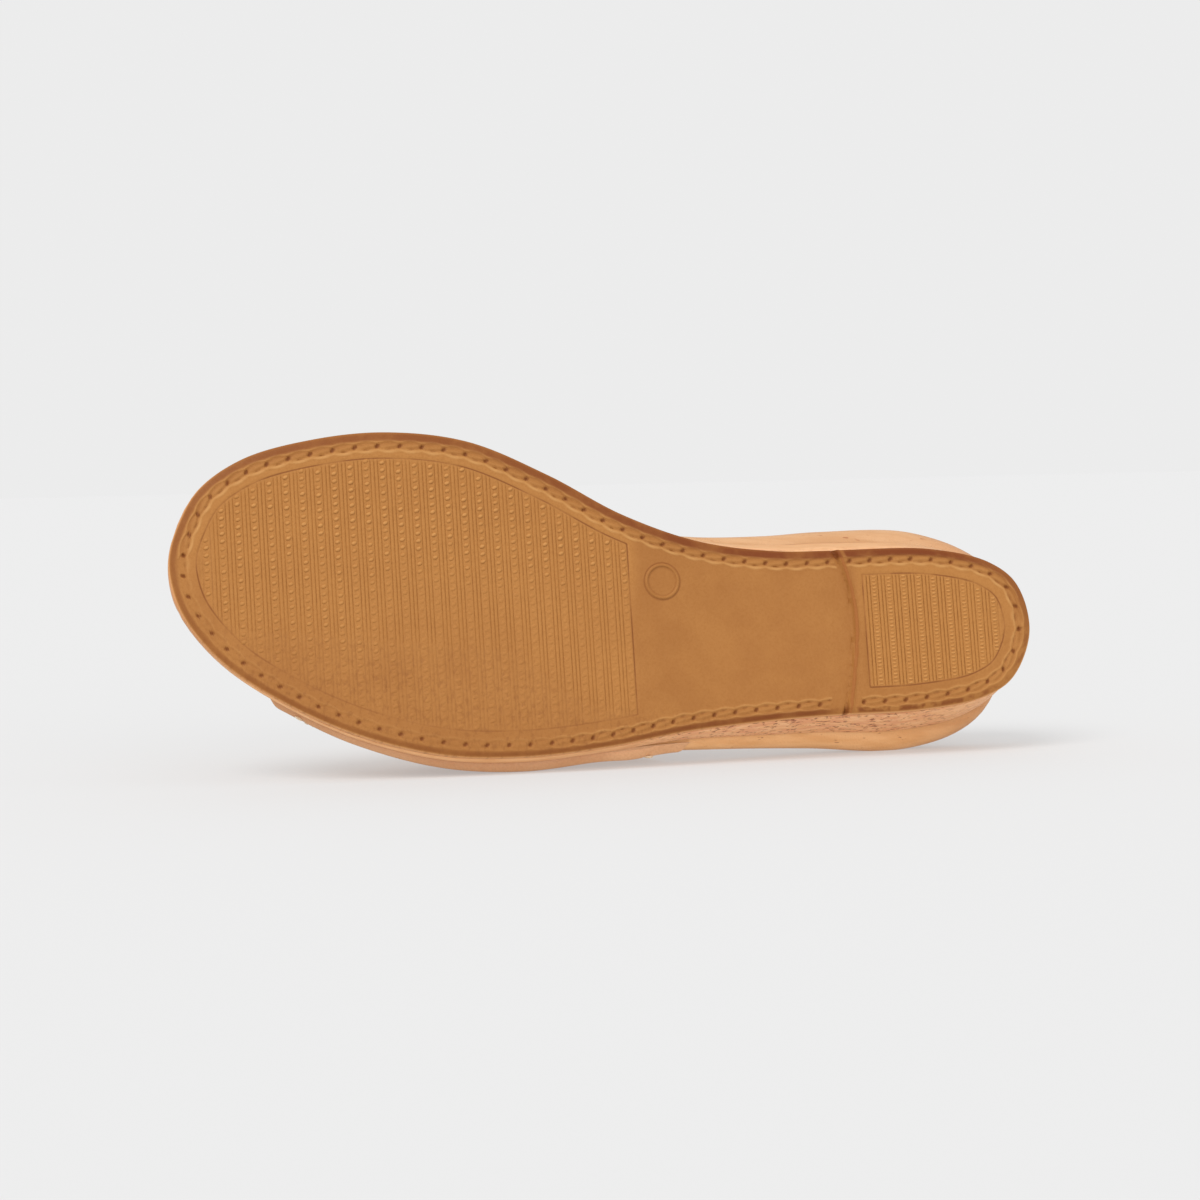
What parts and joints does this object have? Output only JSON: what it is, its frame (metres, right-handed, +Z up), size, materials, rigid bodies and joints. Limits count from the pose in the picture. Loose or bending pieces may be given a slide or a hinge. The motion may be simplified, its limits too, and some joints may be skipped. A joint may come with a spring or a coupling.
{
  "type": "slide sandal",
  "caption": "Open-toe slide sandal for the right foot: one wide leather band over a wrapped footbed, cork-look wedge and moulded outsole, lying on its outer side.",
  "frame": {"origin": "middle of the part's box on the floor that it lies on", "axes": "+Z up from the floor, towards the inner side of the foot; +X from toe to heel; +Y from the sole to the upper"},
  "size_m": [0.2442, 0.0752, 0.0945],
  "materials": {
    "outsole": "satin moulded tan with a dark burnished edge",
    "wedge": "fine flecked cork",
    "footbed": "smooth tan leather wrap",
    "insole": "smooth tan leather sock",
    "upper": "smooth tan leather with stitched edges"
  },
  "bodies": {
    "root": {"outsole": "outsole", "wedge": "wedge", "footbed": "footbed", "insole": "insole", "upper": "upper"}
  },
  "joints": []
}
